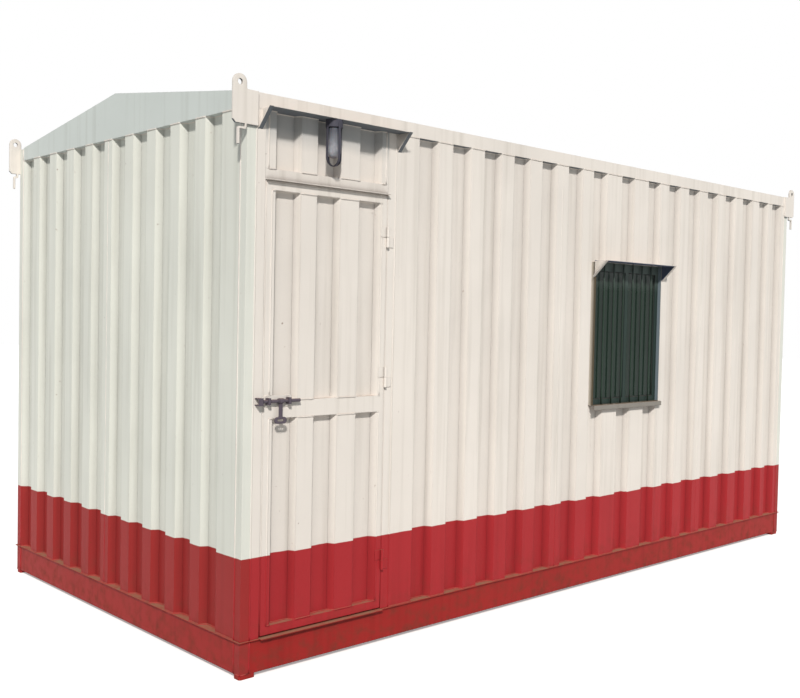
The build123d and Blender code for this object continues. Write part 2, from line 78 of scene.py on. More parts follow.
def add_node(tree, kind, sockets=None, **settings):
    """Add one node: its settings first, then each socket by name or number, as a value or as a link."""
    added = tree.nodes.new(kind)
    for name, value in settings.items():
        setattr(added, name, value)
    for name, value in (sockets or {}).items():
        if isinstance(value, bpy.types.NodeSocket):
            tree.links.new(value, added.inputs[name])
        else:
            added.inputs[name].default_value = value
    return added


def seen_directly(tree):
    """One where a ray comes from the lens, a mirror or glass, and nought where it only lights something."""
    path = add_node(tree, "ShaderNodeLightPath")
    shiny = add_node(
        tree, "ShaderNodeMath",
        {0: path.outputs["Is Glossy Ray"], 1: path.outputs["Is Transmission Ray"]}, operation="MAXIMUM",
    )
    seen = add_node(
        tree, "ShaderNodeMath", {0: path.outputs["Is Camera Ray"], 1: shiny.outputs[0]}, operation="MAXIMUM"
    )
    return seen.outputs[0]


fill_light = (0.27, 0.305, 0.33, 1.0)
white = (1.0, 1.0, 1.0, 1.0)
world = bpy.data.worlds.new("studio")
world.use_nodes = True
sky = world.node_tree
fill_or_white = add_node(
    sky, "ShaderNodeMix", {0: seen_directly(sky), 6: fill_light, 7: white}, data_type="RGBA"
)
sky.links.new(fill_or_white.outputs[2], sky.nodes["Background"].inputs["Color"])
bpy.context.scene.world = world

# The studio floor
# A sheet of matt paper that runs out of sight, just under the feet.
floor_half = 40
floor_drop = 0.0006
floor_mesh = bpy.data.meshes.new("studio_floor")
floor_corners = floor_half * np.array([(-1, -1), (1, -1), (1, 1), (-1, 1)])
floor_mesh.from_pydata([(x, y, -floor_drop) for x, y in floor_corners], [], [(0, 1, 2, 3)])
studio_floor = bpy.data.objects.new("studio_floor", floor_mesh)
bpy.context.scene.collection.objects.link(studio_floor)


def linear(code):
    """A colour written as six hex digits, turned from display values to linear light."""
    shown = [int(code[place:place + 2], 16) / 255 for place in (1, 3, 5)]
    return (*[v / 12.92 if v <= 0.04045 else ((v + 0.055) / 1.055) ** 2.4 for v in shown], 1.0)


def new_material(name):
    """A new material, with its tree of nodes and its shader."""
    material = bpy.data.materials.new(name)
    material.use_nodes = True
    tree = material.node_tree
    return material, tree, tree.nodes["Principled BSDF"]


# The paper gives the eye a plain white, with a faint glow of its own that lights nothing, and it throws a
# little less light back on the cabin
matt_sheet, sheet_tree, sheet_shader = new_material("matt_paper_sheet")
sheet_seen = seen_directly(sheet_tree)
sheet_shade = add_node(
    sheet_tree, "ShaderNodeMix", {0: sheet_seen, 6: linear("#c4c2be"), 7: linear("#fbfbfb")},
    data_type="RGBA",
)
sheet_glow = add_node(sheet_tree, "ShaderNodeMapRange", {"Value": sheet_seen, "To Max": 0.32})
sheet_tree.links.new(sheet_shade.outputs[2], sheet_shader.inputs["Base Color"])
sheet_tree.links.new(sheet_glow.outputs["Result"], sheet_shader.inputs["Emission Strength"])
sheet_shader.inputs["Emission Color"].default_value = white
sheet_shader.inputs["Roughness"].default_value = 1.0
sheet_shader.inputs["Specular IOR Level"].default_value = 0.0
floor_mesh.materials.append(matt_sheet)

# Bottom rails and corner feet
# Steel channels with the web outward, welded between the posts, on flat steel feet. Both are primed and
# brushed with red enamel, which is scuffed and splashed with mud near the ground.
rail_red = "#9c2724"
rain_grey = "#8d8672"
shade_and_grime_grey = "#4d484b"
dust_brown = "#a5836a"
mud_brown = "#5d3b2e"
rust_brown = "#6a3a22"


def lay_over(tree, share, stain, blend="MIX"):
    """Lay a colour over the colour that a material has so far, by a share from nought to one: stains, and
    painted shade and light.
    """
    base = tree.nodes["Principled BSDF"].inputs["Base Color"]
    laid = add_node(
        tree, "ShaderNodeMix", {0: share, 6: base.links[0].from_socket, 7: stain},
        data_type="RGBA", blend_type=blend,
    )
    tree.links.new(laid.outputs[2], base)


def painted_steel(
    name, upper, lower=None, line=0.0, axis="Z", roughness=0.5, wear=1.0, shade_and_grime=0.5, under=None
):
    """Alkyd enamel brushed and rolled over primed steel, with an optional second colour below a line.

    To the eye it is a satin skin with faint upright brush marks, rain streaks and shallow dents. Dust lies
    on what faces up, an optional painted shade darkens what faces down, painted shade and grime darken the
    recesses and corners, mud is splashed low down and rust shows in a few pinholes.
    """
    material, tree, shader = new_material(name)
    shader.inputs["Specular IOR Level"].default_value = 0.15
    where = add_node(tree, "ShaderNodeTexCoord")
    place = where.outputs["Object"]
    split = add_node(tree, "ShaderNodeSeparateXYZ", {"Vector": place})
    facing = add_node(tree, "ShaderNodeSeparateXYZ", {"Vector": where.outputs["Normal"]}).outputs["Z"]
    colour = linear(upper)

    # The paint line was cut in by hand, so it wanders by 4 mm over every 120 mm or so. Where the axis is Y
    # it is the face of a plate, and sharp
    if lower:
        sway, edge = (0.004, 0.0015) if axis == "Z" else (0.0, 0.0002)
        wander = add_node(tree, "ShaderNodeTexNoise", {"Vector": place, "Scale": 8.0, "Detail": 2.0})
        shift = add_node(
            tree, "ShaderNodeMapRange", {"Value": wander.outputs["Fac"], "To Min": -sway, "To Max": sway}
        )
        cut = add_node(
            tree, "ShaderNodeMath", {0: split.outputs[axis], 1: shift.outputs["Result"]}, operation="ADD"
        )
        above = add_node(
            tree, "ShaderNodeMapRange",
            {"Value": cut.outputs[0], "From Min": line - edge, "From Max": line + edge},
        )
        colour = add_node(
            tree, "ShaderNodeMix", {0: above.outputs["Result"], 6: linear(lower), 7: colour}, data_type="RGBA"
        ).outputs[2]

    # Patches about 0.8 m across, with finer ones in them, where the coat is thinner or thicker
    patches = add_node(tree, "ShaderNodeTexNoise", {"Vector": place, "Scale": 1.25, "Detail": 5.0})
    tone = add_node(
        tree, "ShaderNodeMapRange",
        {"Value": patches.outputs["Fac"], "From Min": 0.3, "From Max": 0.7, "To Min": 0.93, "To Max": 1.03},
    )
    patchy = add_node(
        tree, "ShaderNodeMix", {0: 1.0, 6: colour, 7: tone.outputs["Result"]}, data_type="RGBA",
        blend_type="MULTIPLY",
    )
    tree.links.new(patchy.outputs[2], shader.inputs["Base Color"])

    # Rain streaks 40 mm wide and a metre long
    upright = add_node(tree, "ShaderNodeMapping", {"Vector": place, "Scale": (25.0, 25.0, 0.9)})
    runs = add_node(tree, "ShaderNodeTexNoise", {"Vector": upright.outputs[0], "Scale": 1.0, "Detail": 4.0})
    streak = add_node(
        tree, "ShaderNodeMapRange",
        {"Value": runs.outputs["Fac"], "From Min": 0.5, "From Max": 0.8, "To Max": 0.2 * wear},
    )
    lay_over(tree, streak.outputs["Result"], linear(rain_grey), "MULTIPLY")

    # Painted shade, and grime where rain runs less, in the recesses of the sheet: it starts 120 mm from a
    # fold
    fold = add_node(tree, "ShaderNodeAmbientOcclusion", {"Distance": 0.12}, samples=8, only_local=True)
    recess_shade_and_grime = add_node(
        tree, "ShaderNodeMapRange",
        {"Value": fold.outputs["AO"], "From Min": 0.93, "From Max": 0.58, "To Max": shade_and_grime},
    )
    lay_over(tree, recess_shade_and_grime.outputs["Result"], linear(shade_and_grime_grey), "MULTIPLY")

    # Painted shade on what faces down, in the under colour
    if under:
        down = add_node(
            tree, "ShaderNodeMapRange", {"Value": facing, "From Min": -0.3, "From Max": -0.6, "To Max": 0.92}
        )
        lay_over(tree, down.outputs["Result"], linear(under))

    # Dust on ledges, broken up by a 50 mm mottle
    mottle = add_node(tree, "ShaderNodeTexNoise", {"Vector": place, "Scale": 20.0, "Detail": 5.0})
    ledge = add_node(
        tree, "ShaderNodeMapRange", {"Value": facing, "From Min": 0.5, "From Max": 0.95, "To Max": 1.1 * wear}
    )
    dust = add_node(
        tree, "ShaderNodeMath", {0: ledge.outputs["Result"], 1: mottle.outputs["Fac"]},
        operation="MULTIPLY", use_clamp=True,
    )
    lay_over(tree, dust.outputs[0], linear(dust_brown))

    # Mud splashed up to 0.35 m, thickest at the ground
    low = add_node(
        tree, "ShaderNodeMapRange",
        {"Value": split.outputs["Z"], "From Min": 0.35, "From Max": 0.0, "To Max": 0.6 * wear},
    )
    splash = add_node(
        tree, "ShaderNodeMapRange", {"Value": mottle.outputs["Fac"], "From Min": 0.45, "From Max": 0.75}
    )
    muddy = add_node(
        tree, "ShaderNodeMath", {0: low.outputs["Result"], 1: splash.outputs["Result"]}, operation="MULTIPLY"
    )
    lay_over(tree, muddy.outputs[0], linear(mud_brown))

    # Pinholes of rust some 6 mm across, which are the peaks of an 18 mm pattern
    pinholes = add_node(tree, "ShaderNodeTexNoise", {"Vector": place, "Scale": 55.0, "Detail": 3.0})
    rust = add_node(
        tree, "ShaderNodeMapRange",
        {"Value": pinholes.outputs["Fac"], "From Min": 0.73, "From Max": 0.78, "To Max": 0.7 * wear},
    )
    lay_over(tree, rust.outputs["Result"], linear(rust_brown))

    # Dusty and rusty spots are dull, and the bare coat is satin
    dull = add_node(tree, "ShaderNodeMath", {0: dust.outputs[0], 1: muddy.outputs[0]}, operation="MAXIMUM")
    duller = add_node(
        tree, "ShaderNodeMath", {0: dull.outputs[0], 1: rust.outputs["Result"]}, operation="MAXIMUM"
    )
    satin = add_node(
        tree, "ShaderNodeMapRange", {"Value": duller.outputs[0], "To Min": roughness, "To Max": 0.85}
    )
    tree.links.new(satin.outputs["Result"], shader.inputs["Roughness"])

    # Bends of 5 mm radius in the sheet, under brush marks 4 mm wide, drawn coarser than real bristle marks
    # so that they show, and dents 0.3 m across
    bend = add_node(tree, "ShaderNodeBevel", {"Radius": 0.005}, samples=4)
    bristle = add_node(tree, "ShaderNodeMapping", {"Vector": place, "Scale": (250.0, 250.0, 9.0)})
    marks = add_node(tree, "ShaderNodeTexNoise", {"Vector": bristle.outputs[0], "Scale": 1.0, "Detail": 2.0})
    brushed = add_node(
        tree, "ShaderNodeBump",
        {"Height": marks.outputs["Fac"], "Strength": 0.12, "Distance": 0.001,
         "Normal": bend.outputs["Normal"]},
    )
    dents = add_node(tree, "ShaderNodeTexNoise", {"Vector": place, "Scale": 3.3, "Detail": 1.0})
    dented = add_node(
        tree, "ShaderNodeBump",
        {"Height": dents.outputs["Fac"], "Strength": 1.0, "Distance": 0.006,
         "Normal": brushed.outputs["Normal"]},
    )
    tree.links.new(dented.outputs["Normal"], shader.inputs["Normal"])
    return material


def dress(material, *names):
    """Give CAD nodes their material."""
    for name in names:
        for place in nodes[name].material_slots:
            place.material = material


red_enamel = painted_steel("red_enamel_on_steel", rail_red, wear=1.2)
dress(red_enamel, "bottom_rail_front", "bottom_rail_back", "bottom_rails_end", "corner_feet")

# Floor joists and deck
# Channel joists in red oxide primer carry 18 mm plywood, which is covered with a brown vinyl sheet.
primer = painted_steel("red_oxide_primer_on_steel", "#7c4034", roughness=0.7)
dress(primer, "floor_joists")
# The vinyl gives the eye a print of planks with fine joints, and a grain 17 mm wide that runs along them
plank_length = 0.9
plank_width = 0.12
plank_joint = 0.0015
vinyl, vinyl_tree, vinyl_shader = new_material("printed_vinyl_sheet_on_plywood")
vinyl_place = add_node(vinyl_tree, "ShaderNodeTexCoord").outputs["Object"]
plank_pattern = add_node(
    vinyl_tree, "ShaderNodeTexBrick",
    {"Vector": vinyl_place, "Scale": 1.0, "Brick Width": plank_length, "Row Height": plank_width,
     "Mortar Size": plank_joint, "Color1": linear("#8a6f55"), "Color2": linear("#7b6149"),
     "Mortar": linear("#4a382a")},
)
plank_stretch = add_node(vinyl_tree, "ShaderNodeMapping", {"Vector": vinyl_place, "Scale": (2.5, 60.0, 1.0)})
plank_grain = add_node(
    vinyl_tree, "ShaderNodeTexNoise", {"Vector": plank_stretch.outputs[0], "Scale": 1.0, "Detail": 5.0}
)
grain_tone = add_node(
    vinyl_tree, "ShaderNodeMapRange", {"Value": plank_grain.outputs["Fac"], "To Min": 0.72, "To Max": 1.2}
)
vinyl_colour = add_node(
    vinyl_tree, "ShaderNodeMix", {0: 1.0, 6: plank_pattern.outputs["Color"], 7: grain_tone.outputs["Result"]},
    data_type="RGBA", blend_type="MULTIPLY",
)
vinyl_tree.links.new(vinyl_colour.outputs[2], vinyl_shader.inputs["Base Color"])
vinyl_shader.inputs["Roughness"].default_value = 0.5
dress(vinyl, "floor_deck")

# Corner posts
# Square steel tubes, 50 mm, from the feet to the top rails. They are painted with the walls, in cream
# above a line just over half a metre up and in red below it. On the posts and the ends both colours are a
# cooler, darker copy: painted shade for the less lit ends. A bead runs round every joint of the frame.
wall_cream = "#e8e1db"
wall_red = "#aa2e33"
paint_line = 0.54
two_tone = painted_steel("two_tone_enamel_on_steel", wall_cream, wall_red, paint_line)
# A cooler, darker copy of both colours, painted shade for the ends and the posts
shaded_two_tone = painted_steel("shaded_two_tone_enamel_on_steel", "#e0e1da", "#9b2f2e", paint_line)
dress(shaded_two_tone, "corner_posts")
post_low, post_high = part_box("corner_posts")
post = 0.05
foot_top = post_low.z
eave = post_high.z
length = post_high.x - post_low.x
width = post_high.y - post_low.y
rail_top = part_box("bottom_rail_front")[1].z
rail_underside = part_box("top_rail_front")[0].z
wall_starts = {
    "front": ((post_low.x, post_low.y), (1, 0)),
    "right": ((post_high.x, post_low.y), (0, 1)),
    "back": ((post_high.x, post_high.y), (-1, 0)),
    "left": ((post_low.x, post_high.y), (0, -1)),
}


def on_wall(wall, along, inward, level):
    """Points on a wall: along it to the right from its left-hand corner, inward from its face, and up."""
    (x, y), (right_x, right_y) = wall_starts[wall]
    along, inward, level = np.broadcast_arrays(along, inward, level)
    across = x + along * right_x - inward * right_y
    return np.stack([across, y + along * right_y + inward * right_x, level], -1)


def carried(profile, path, up=(0.0, 0.0, 1.0), scale=1.0):
    """A profile carried along a path: at each point, across times the profile's first value plus upward times
    its second, where across is the path's direction crossed with up, and upward is across crossed with it."""
    path = np.asarray(path, float)
    direction = np.gradient(path, axis=0)
    direction /= np.linalg.norm(direction, axis=1, keepdims=True)
    across = np.cross(direction, np.broadcast_to(up, path.shape))
    across /= np.linalg.norm(across, axis=1, keepdims=True)
    upward = np.cross(across, direction)
    profile = np.asarray(profile, float) * np.reshape(scale, (-1, 1, 1))
    return path[:, None] + profile[..., :1] * across[:, None] + profile[..., 1:] * upward[:, None]


def circle(radius, count):
    """Points evenly round a circle: radius times the cosine and the sine of equal steps of a full turn."""
    turn = np.arange(count) * 2 * np.pi / count
    return radius * np.stack([np.cos(turn), np.sin(turn)], -1)


def closed_piece(name, grids, material, body, smooth=True):
    """Join grids of points into one object. In each grid a row is a ring, and flat ends close the first and
    last rings. A grid whose volume comes out negative has its rows turned round, so faces point outward."""
    corners = []
    loops = []
    sizes = []
    start = 0
    for grid in grids:
        rows, columns = grid.shape[:2]
        ring = np.arange(columns)
        after = np.roll(ring, -1)
        step = columns * np.arange(rows - 1)[:, None]
        a, b, c, d = grid[:-1], grid[:-1, after], grid[1:][:, after], grid[1:]
        middle = grid.mean(axis=(0, 1))
        volume = sum(
            np.einsum("ijk,ijk->", p - middle, np.cross(q - middle, r - middle))
            for p, q, r in ((a, b, c), (a, c, d))
        )
        if volume < 0:
            grid = grid[::-1]
        quads = np.stack([step + ring, step + after, step + columns + after, step + columns + ring], -1)
        ends = np.concatenate([ring[::-1], ring + columns * (rows - 1)])
        loops.append(np.concatenate([quads.ravel(), ends]) + start)
        sizes.append(np.concatenate([np.full(quads.size // 4, 4), [columns, columns]]))
        corners.append(grid.reshape(-1, 3))
        start += rows * columns
    corners, loops, sizes = (np.concatenate(part) for part in (corners, loops, sizes))
    mesh = bpy.data.meshes.new(name)
    mesh.vertices.add(len(corners))
    mesh.vertices.foreach_set("co", corners.ravel())
    mesh.loops.add(len(loops))
    mesh.loops.foreach_set("vertex_index", loops)
    mesh.polygons.add(len(sizes))
    mesh.polygons.foreach_set("loop_start", np.cumsum(sizes) - sizes)
    mesh.update(calc_edges=True)
    mesh.polygons.foreach_set("use_smooth", (sizes == 4) & smooth)
    mesh.materials.append(material)
    piece = bpy.data.objects.new(name, mesh)
    bpy.context.scene.collection.objects.link(piece)
    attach(piece, body)
    return piece


# A bead's middle stands off its joint by the lift, and its ends stop short of what they would run into
bead_radius = 0.0035
bead_lift = 0.001
bead_short = 0.004
chance = np.random.default_rng(7)


def bead(path, up=(0.0, 0.0, 1.0), radius=bead_radius):
    """A hand-laid weld bead: a hexagon carried along the path, thicker and thinner by up to a fifth."""
    swell = radius * (1 + 0.2 * chance.uniform(-1, 1, len(path)))
    return carried(circle(1.0, 6), path, up, swell)


def upright_bead(wall, along, low, high, inward=0.0, step=0.02):
    """A straight bead up a joint between two flat faces."""
    levels = np.linspace(low, high, max(2, int((high - low) / step)))
    return bead(on_wall(wall, along, inward, levels), up=(1.0, 1.0, 0.0))


def level_bead(wall, start, end, level, inward=0.0, step=0.02):
    """A straight bead along a level joint between two flat faces."""
    along = np.linspace(start, end, max(2, int((end - start) / step)))
    return bead(on_wall(wall, along, inward, level))


eave_gap = 0.006
frame_beads = []
for wall, reach in (("front", length), ("back", length), ("left", width), ("right", width)):
    for joint in (post, reach - post):
        frame_beads.append(upright_bead(wall, joint, rail_top, rail_underside))
        frame_beads.append(upright_bead(wall, joint, foot_top + bead_short, rail_top - 2 * bead_short))
        frame_beads.append(upright_bead(wall, joint, rail_underside, eave - eave_gap))
    for corner in (0.0, reach - post):
        start = corner + bead_short
        end = corner + post - bead_short
        frame_beads.append(level_bead(wall, start, end, foot_top + bead_lift))
closed_piece("frame_welds", frame_beads, two_tone, "cabin")

# Top rails and gables
# Rectangular tube along the eaves, and flat plate closing each end up to the slopes of the roof. All are
# brushed with cream enamel, with painted shade in slate under the rails, and greyer on the gables.
# The slate under colour is painted shade on the undersides of the rails, lugs and canopy
cream_enamel = painted_steel("cream_enamel_on_steel", wall_cream, under="#59626c")
gable_enamel = painted_steel("greyer_cream_enamel_on_gables", "#d0d6d4")
dress(cream_enamel, "top_rail_front", "top_rail_back")
dress(gable_enamel, "gable_left", "gable_right")

# Corrugated walls
# Pressed steel sheet, 2 mm thick, with upright trapezoidal recesses. Each edge is welded to the rails and
# posts all the way, the sheets are butted on a flat every 1.2 m, and the beads are painted over.
# The ends wear the cooler, darker copy of the paint, which is painted shade
dress(shaded_two_tone, "end_wall_left", "end_wall_right")
dress(two_tone, "back_wall", "front_wall_middle", "front_wall_right")
dress(two_tone, "front_wall_under_window", "front_wall_over_window")
recess_depth = 0.036
sheet_pitch = 0.244
sheet_width = 5 * sheet_pitch
near_pitch = 0.2442
far_pitch = 0.2417
end_pitch = 0.2277
# Recesses and joints are set out from each wall's left-hand corner. The front has two even runs of seven
# recesses, with one between them and one after them
front_recesses = np.concatenate([
    1.113 + near_pitch * np.arange(7), [2.872], 3.165 + far_pitch * np.arange(7), [4.815],
])
front_joints = (2.212, 3.769)
back_recesses = post + sheet_pitch * (np.arange(20) + 0.5)
back_joints = post + sheet_width * np.arange(1, 4)
end_recesses = 0.1285 + end_pitch * np.arange(10)
end_joints = (1.153,)
window_low, window_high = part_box("window_frame")
window_left = window_low.x - post_low.x
window_right = window_high.x - post_low.x
jamb_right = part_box("door_jamb_right")[1].x - post_low.x


def recess(along, centres, depth=recess_depth, mouth=0.142, floor=0.104):
    """How far in the sheet lies: all its depth across a recess's floor, nothing past the mouth, straight
    between."""
    reach = np.abs(np.asarray(along)[:, None] - centres).min(axis=1)
    return depth * np.clip((mouth - 2 * reach) / (mouth - floor), 0, 1)


def sheet_beads(wall, start, end, centres, levels, depth=recess_depth, step=0.008):
    """Beads along the cut edges of a corrugated sheet: the path follows the recesses at a fixed level."""
    along = np.linspace(start, end, int((end - start) / step))
    inward = recess(along, centres, depth) - bead_lift
    return [bead(on_wall(wall, along, inward, level)) for level in levels]


foot_and_head = (rail_top + bead_lift, rail_underside - bead_lift)
wall_beads = sheet_beads("back", post, length - post, back_recesses, foot_and_head)
for wall in ("left", "right"):
    wall_beads += sheet_beads(wall, post, width - post, end_recesses, foot_and_head)
for start, end in ((jamb_right, window_left), (window_left, window_right), (window_right, length - post)):
    wall_beads += sheet_beads("front", start, end, front_recesses, foot_and_head)
sill_and_head = (window_low.z - bead_lift, window_high.z + bead_lift)
wall_beads += sheet_beads("front", window_left, window_right, front_recesses, sill_and_head)
joint_ends = (rail_top + bead_short, rail_underside - bead_short)
joint_sink = 0.0018
for wall, joints in (
    ("front", front_joints), ("back", back_joints), ("left", end_joints), ("right", end_joints),
):
    for joint in joints:
        wall_beads.append(upright_bead(wall, joint, *joint_ends, inward=joint_sink))
closed_piece("wall_welds", wall_beads, two_tone, "cabin")

# Roof
# The same corrugated sheet laid up and down the slopes under a folded ridge cap, in grey roofing paint.
# Hexagon screws on washers hold the sheet to the rails and the cap to the sheet.
roof_grey = "#a7aaa8"
grey_paint = painted_steel("aluminium_bitumen_paint_on_steel", roof_grey, roughness=0.55, wear=0.35)
dress(grey_paint, "roof_front", "roof_back", "ridge_cap")
# The zinc gives the eye a dull grey metal with crystals 2.5 mm across
galvanised, zinc_tree, zinc_shader = new_material("hot_dip_galvanised_screw")
spangle = add_node(
    zinc_tree, "ShaderNodeTexVoronoi",
    {"Vector": add_node(zinc_tree, "ShaderNodeTexCoord").outputs["Object"], "Scale": 400.0},
)
zinc_tone = add_node(
    zinc_tree, "ShaderNodeMix",
    {0: spangle.outputs["Distance"], 6: linear("#9a9d9f"), 7: linear("#73777a")}, data_type="RGBA",
)
zinc_tree.links.new(zinc_tone.outputs[2], zinc_shader.inputs["Base Color"])
zinc_shader.inputs["Metallic"].default_value = 0.9
zinc_shader.inputs["Roughness"].default_value = 0.45
middle_y = (post_low.y + post_high.y) / 2
roof_fall = (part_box("gable_left")[1].z - eave) / (width / 2)
fall_length = math.hypot(1, roof_fall)
washer_radius = 0.012
washer_top = 0.002
hexagon_radius = 0.0075
hexagon_top = 0.0065
chamfer = 0.001


def hex_screw(x, y, level, side):
    """A screw head on a slope: rings at set heights along the slope's normal, of the washer's radius, then of
    the hexagon's, with a small chamfer at its top. Side is minus one at the front and one at the back."""
    normal = np.array([0.0, side * roof_fall, 1.0]) / fall_length
    uphill = np.array([0.0, -side, roof_fall]) / fall_length
    rings = []
    for radius, height in (
        (washer_radius, 0.0), (washer_radius, washer_top), (hexagon_radius, washer_top + 0.0001),
        (hexagon_radius, hexagon_top - chamfer), (0.8 * hexagon_radius, hexagon_top),
    ):
        flat = circle(radius, 6)
        rings.append((x, y, level) + flat[:, :1] * (1, 0, 0) + flat[:, 1:] * uphill + height * normal)
    return np.array(rings)


# Each row is at its distance from the ridge. The row by the ridge is on the cap, which stands higher
screw_rows = ((1.13, 0.0), (0.62, 0.0), (0.13, 0.0025))
screw_sink = 0.0005
screw_columns = post_low.x + post + sheet_pitch * np.arange(1, 20)
roof_screws = []
for side in (-1, 1):
    for reach, lift in screw_rows:
        level = eave + (width / 2 - post - reach) * roof_fall + lift - screw_sink
        for x in screw_columns:
            roof_screws.append(hex_screw(x, middle_y + side * reach, level, side))
closed_piece("roof_screws", roof_screws, galvanised, "cabin", smooth=False)

# Lifting lugs
# Flame-cut 12 mm plate on the outer face of each corner post, with an eye for a shackle and a tie hook of
# flat bar under it. A fillet of weld runs up the post's side of each plate and along its foot.
dress(cream_enamel, "lifting_lugs")
lug_foot = 2.455
lug_bead_lift = 0.002
lug_beads = []
for wall in ("front", "back"):
    for near, far in ((post, bead_short), (length - post, length - bead_short)):
        lug_beads.append(upright_bead(wall, near, lug_foot, eave - bead_short, -lug_bead_lift))
        lug_beads.append(level_bead(wall, min(near, far), max(near, far), lug_foot, -lug_bead_lift))
closed_piece("lug_welds", lug_beads, cream_enamel, "cabin")

# Doorway
# Two square tube jambs and a folded head with a drip strip, welded between the rails, with a short run of
# sheet above. The sheet carries a painted shadow of the canopy, dark blue-grey under it.
dress(two_tone, "door_jamb_left", "door_jamb_right", "door_head")
door_recesses = np.array([0.227, 0.462, 0.719])
door_head_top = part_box("door_head")[1].z
doorway_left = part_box("door_jamb_left")[1].x - post_low.x
doorway_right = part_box("door_jamb_right")[0].x - post_low.x
# The painted shadow lies thick under the top rail and stops 150 mm down, at an edge that wavers by 30 mm over
# some 110 mm
shadow_foot = rail_underside - 0.15
shadow_full = rail_underside - 0.06
shadow_waver = 0.03
canopy_shadow_enamel = painted_steel("canopy_shadow_on_cream_enamel", wall_cream, shade_and_grime=0.3)
shadow_tree = canopy_shadow_enamel.node_tree
shadow_place = add_node(shadow_tree, "ShaderNodeTexCoord").outputs["Object"]
shadow_height = add_node(shadow_tree, "ShaderNodeSeparateXYZ", {"Vector": shadow_place}).outputs["Z"]
shadow_cloud = add_node(shadow_tree, "ShaderNodeTexNoise", {"Vector": shadow_place, "Scale": 9.0, "Detail": 4.0})
shadow_edge = add_node(
    shadow_tree, "ShaderNodeMapRange",
    {"Value": shadow_cloud.outputs["Fac"], "To Min": -shadow_waver, "To Max": shadow_waver},
)
shadow_level = add_node(
    shadow_tree, "ShaderNodeMath", {0: shadow_height, 1: shadow_edge.outputs["Result"]}, operation="ADD"
)
canopy_shadow = add_node(
    shadow_tree, "ShaderNodeMapRange",
    {"Value": shadow_level.outputs[0], "From Min": shadow_foot, "From Max": shadow_full, "To Max": 0.48},
)
lay_over(shadow_tree, canopy_shadow.outputs["Result"], linear("#7f94a4"), "MULTIPLY")
dress(canopy_shadow_enamel, "front_wall_over_door")
over_door = (door_head_top + bead_lift, rail_underside - bead_lift)
doorway_beads = sheet_beads("front", doorway_left, doorway_right, door_recesses, over_door)
doorway_beads.append(upright_bead("front", jamb_right, rail_top, rail_underside))
doorway_beads.append(upright_bead("front", doorway_left, door_head_top, rail_underside))
doorway_beads.append(upright_bead("front", doorway_right, door_head_top, rail_underside))
closed_piece("doorway_welds", doorway_beads, two_tone, "cabin")

# Door leaf
# A folded tray frame with two corrugated panels and a flat inner skin, welded together and painted with the
# walls. A soft weather strip round the leaf fills most of the gap, and was painted over with it.
door_enamel = painted_steel("two_tone_enamel_on_door", wall_cream, wall_red, paint_line, shade_and_grime=0.35)
dress(door_enamel, "door_leaf_frame", "door_inner_skin")
dress(two_tone, "door_leaf_sheets")
leaf_low, leaf_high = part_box("door_leaf_frame")
leaf_left = leaf_low.x - post_low.x
leaf_right = leaf_high.x - post_low.x
leaf_recess_depth = 0.032
stile = 0.03
foot_rail = 0.04
head_rail = 0.035
rail_foot = 1.16
rail_head = 1.24
field_left = leaf_left + stile
field_right = leaf_right - stile
field_foot = leaf_low.z + foot_rail
field_head = leaf_high.z - head_rail
plate_low, plate_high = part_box("bolt_guides")
plate_left = plate_low.x - post_low.x
plate_right = plate_high.x - post_low.x
# The beads stop at the bolt's plate, which lies flat on the leaf
door_beads = []
for start, level in (
    (field_left, field_foot + bead_lift), (field_left, rail_foot - bead_lift),
    (plate_right + bead_short, rail_head + bead_lift), (field_left, field_head - bead_lift),
):
    door_beads += sheet_beads("front", start, field_right, door_recesses, (level,), leaf_recess_depth)
for joint, low, high in (
    (field_left, field_foot, rail_foot), (field_right, field_foot, rail_foot),
    (field_left, plate_high.z + bead_short, field_head), (field_right, rail_head, field_head),
):
    door_beads.append(upright_bead("front", joint, low, high))
closed_piece("door_welds", door_beads, door_enamel, "door")


def rounded(broad, high, corner, steps=3):
    """A rectangle with round corners: quarter circles about the four corner centres, joined by its sides."""
    turn = np.linspace(0, np.pi / 2, steps)
    quarter = corner * np.stack([np.cos(turn), np.sin(turn)], -1)
    profile = []
    for x, y in ((1, 1), (-1, 1), (-1, -1), (1, -1)):
        corner_points = quarter * (x, y) + (x * (broad / 2 - corner), y * (high / 2 - corner))
        profile.append(corner_points if x * y > 0 else corner_points[::-1])
    return np.concatenate(profile)


strip_depth = 0.005
strip_width = 0.006
strip_thickness = 0.008
strip_section = rounded(strip_width, strip_thickness, 0.002)
strip_enamel = painted_steel(
    "two_tone_enamel_on_weather_strip", wall_cream, wall_red, paint_line, shade_and_grime=0.0
)
side_levels = np.linspace(leaf_low.z, leaf_high.z + strip_width, 12)
outward = (0.0, -1.0, 0.0)
strips = [
    carried(strip_section, on_wall("front", along, strip_depth, side_levels), outward)
    for along in (leaf_left - strip_width / 2, leaf_right + strip_width / 2)
]
head_along = np.linspace(leaf_left, leaf_right, 12)
head_strip = on_wall("front", head_along, strip_depth, leaf_high.z + strip_width / 2)
strips.append(carried(strip_section[:, ::-1], head_strip))
closed_piece("door_weather_strip", strips, strip_enamel, "door")

# Hinges
# Three turned steel barrels in two halves, each with a short leaf of flat bar, welded to the jamb and to the
# door and painted with them.
dress(door_enamel, "hinge_halves_jamb", "hinge_halves_leaf")

# Sliding bolt, hasp and keeper
# Round bar in block guides on a plate painted with the door, with a slotted hasp that hangs from it. The
# bar, the guides, the hasp and the keeper are in worn dark paint.
iron_black = "#5d5560"
dark_iron = painted_steel("worn_black_paint_on_wrought_bar", iron_black, wear=0.5)
